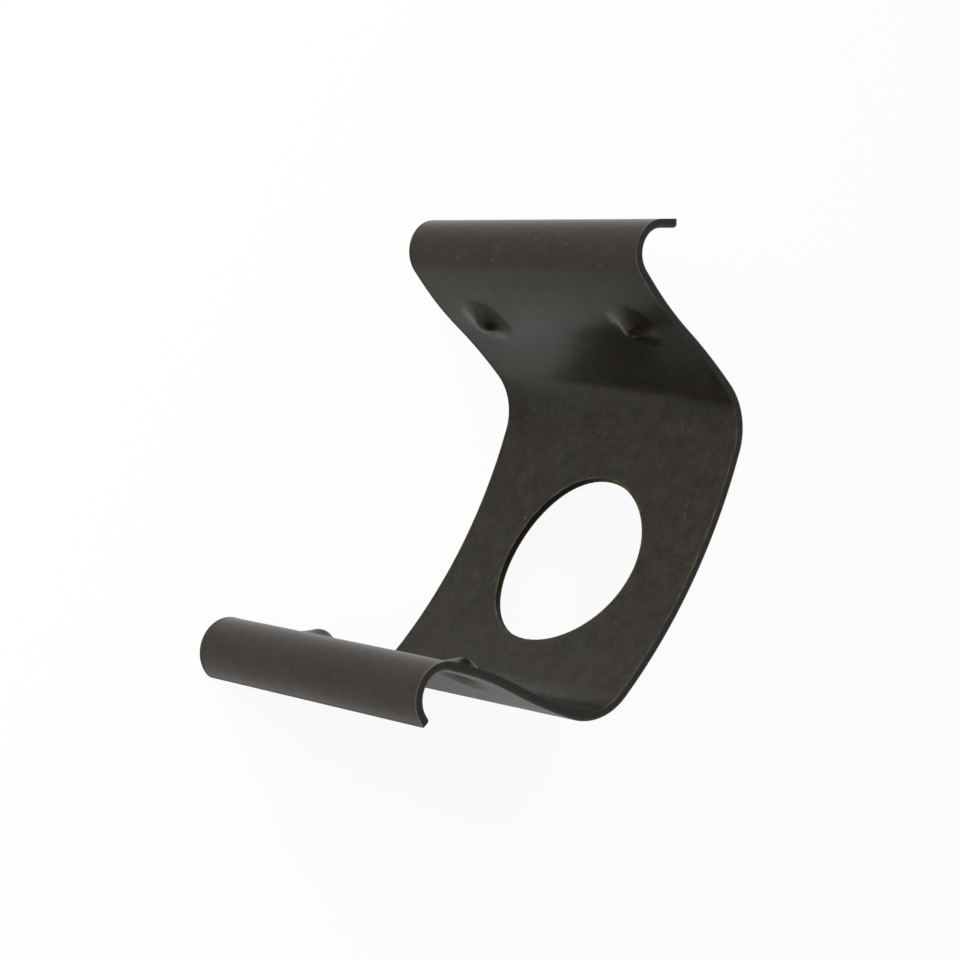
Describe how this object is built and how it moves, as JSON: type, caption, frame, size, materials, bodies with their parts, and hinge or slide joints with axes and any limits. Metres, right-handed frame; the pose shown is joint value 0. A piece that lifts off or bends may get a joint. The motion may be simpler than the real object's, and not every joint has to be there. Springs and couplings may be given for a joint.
{
  "type": "brake line clip",
  "caption": "C-shaped spring-steel clip: a bowed web with a round hole, and arms with inward bumps and outward rolled lips that grip a line's bracket.",
  "frame": {"origin": "centre of the round hole, in the web's thickness at its crown", "axes": "+X along the web, towards the lip that is rolled further round; +Y out of the clip's back along the hole's axis, so that the mouth faces -Y; +Z across the strip, up from the long cut edge that the clip lies on"},
  "size_m": [0.0396, 0.0179, 0.025],
  "materials": {
    "spring_steel": "dark phosphated and oiled spring steel"
  },
  "bodies": {
    "root": {"clip": "spring_steel"}
  },
  "joints": []
}
